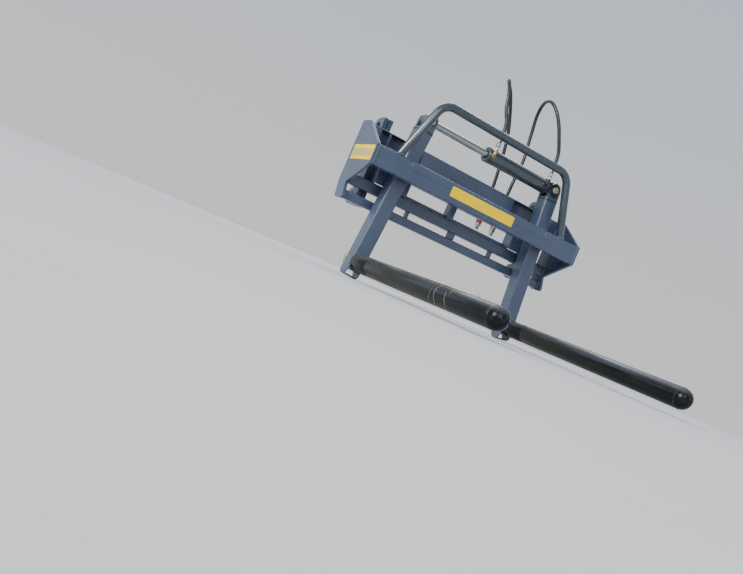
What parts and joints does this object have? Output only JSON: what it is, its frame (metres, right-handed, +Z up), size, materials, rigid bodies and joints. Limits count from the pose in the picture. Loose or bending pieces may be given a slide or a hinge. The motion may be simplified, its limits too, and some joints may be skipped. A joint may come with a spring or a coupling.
{
  "type": "round bale stacker",
  "caption": "Loader-mounted grab for wrapped round bales: a welded beam with two swinging arms, free-turning tine rollers and one squeeze cylinder.",
  "frame": {"origin": "on the floor under the middle of the width and of the length, hoses left out", "axes": "+X along the beam to the right hand seen from the front, -Y the way the rollers point, +Y to the loader, +Z up"},
  "size_m": [1.316, 1.543, 1.2958],
  "materials": {
    "frame_paint": "gloss blue-grey paint with road dirt",
    "tine_paint": "scuffed dark paint with straw stains",
    "dark_paint": "gloss dark green-grey paint",
    "chrome": "hard chrome",
    "zinc": "yellow zinc plate",
    "bright_steel": "zinc plated",
    "hose_rubber": "matt black hose cover"
  },
  "bodies": {
    "frame": {"left_end_plate": "frame_paint", "right_end_plate": "frame_paint", "front_beam": "frame_paint", "top_rail": "frame_paint", "upper_rail": "frame_paint", "lower_rail": "frame_paint", "rail_links": "frame_paint", "centre_upright": "frame_paint", "left_pivot_box": "frame_paint", "right_pivot_box": "frame_paint", "left_pivot_pin": "frame_paint", "right_pivot_pin": "frame_paint", "left_hook": "frame_paint", "right_hook": "frame_paint", "hoop_guard": "frame_paint"},
    "left_arm": {"left_arm": "frame_paint", "left_clevis_pin": "zinc", "left_spindle": "tine_paint", "left_spindle_nut": "zinc"},
    "right_arm": {"right_arm": "frame_paint", "right_clevis_pin": "zinc", "right_spindle": "tine_paint", "right_spindle_nut": "zinc"},
    "left_roller": {"left_roller": "tine_paint"},
    "right_roller": {"right_roller": "tine_paint"},
    "cylinder_barrel": {"cylinder_barrel": "dark_paint", "cylinder_gland": "dark_paint", "gland_fitting": "bright_steel", "base_fitting": "bright_steel", "gland_hose": "hose_rubber", "base_hose": "hose_rubber", "gland_coupler": "bright_steel", "base_coupler": "bright_steel"},
    "cylinder_rod": {"cylinder_rod": "chrome"}
  },
  "joints": [
    {"name": "left_arm_swing", "type": "hinge", "parent": "frame", "child": "left_arm", "pos_m": [-0.434, 0.5025, 0.59921], "axis": [0, 1, 0], "range_deg": [-4, 22]},
    {"name": "right_arm_swing", "type": "hinge", "parent": "frame", "child": "right_arm", "pos_m": [0.434, 0.5025, 0.59921], "axis": [0, -1, 0], "range_deg": [-4, 22]},
    {"name": "left_roller_turn", "type": "hinge", "parent": "left_arm", "child": "left_roller", "pos_m": [-0.4795, 0, 0.0792], "axis": [0, 1, 0], "continuous": true},
    {"name": "right_roller_turn", "type": "hinge", "parent": "right_arm", "child": "right_roller", "pos_m": [0.4795, 0, 0.0792], "axis": [0, 1, 0], "continuous": true},
    {"name": "barrel_tilt", "type": "hinge", "parent": "right_arm", "child": "cylinder_barrel", "pos_m": [0.41256, 0.5025, 0.84427], "axis": [0, 1, 0], "range_deg": [-4.01, 22.01]},
    {"name": "rod_slide", "type": "slide", "parent": "cylinder_barrel", "child": "cylinder_rod", "axis": [-1, 0, 0], "range_m": [-0.1828, 0.0334]}
  ],
  "couplings": [
    {"joint": "right_arm_swing", "follows": "left_arm_swing", "ratio": 1},
    {"joint": "barrel_tilt", "follows": "left_arm_swing", "ratio": 1},
    {"joint": "rod_slide", "follows": "left_arm_swing", "m_per_rad": -0.4756}
  ]
}
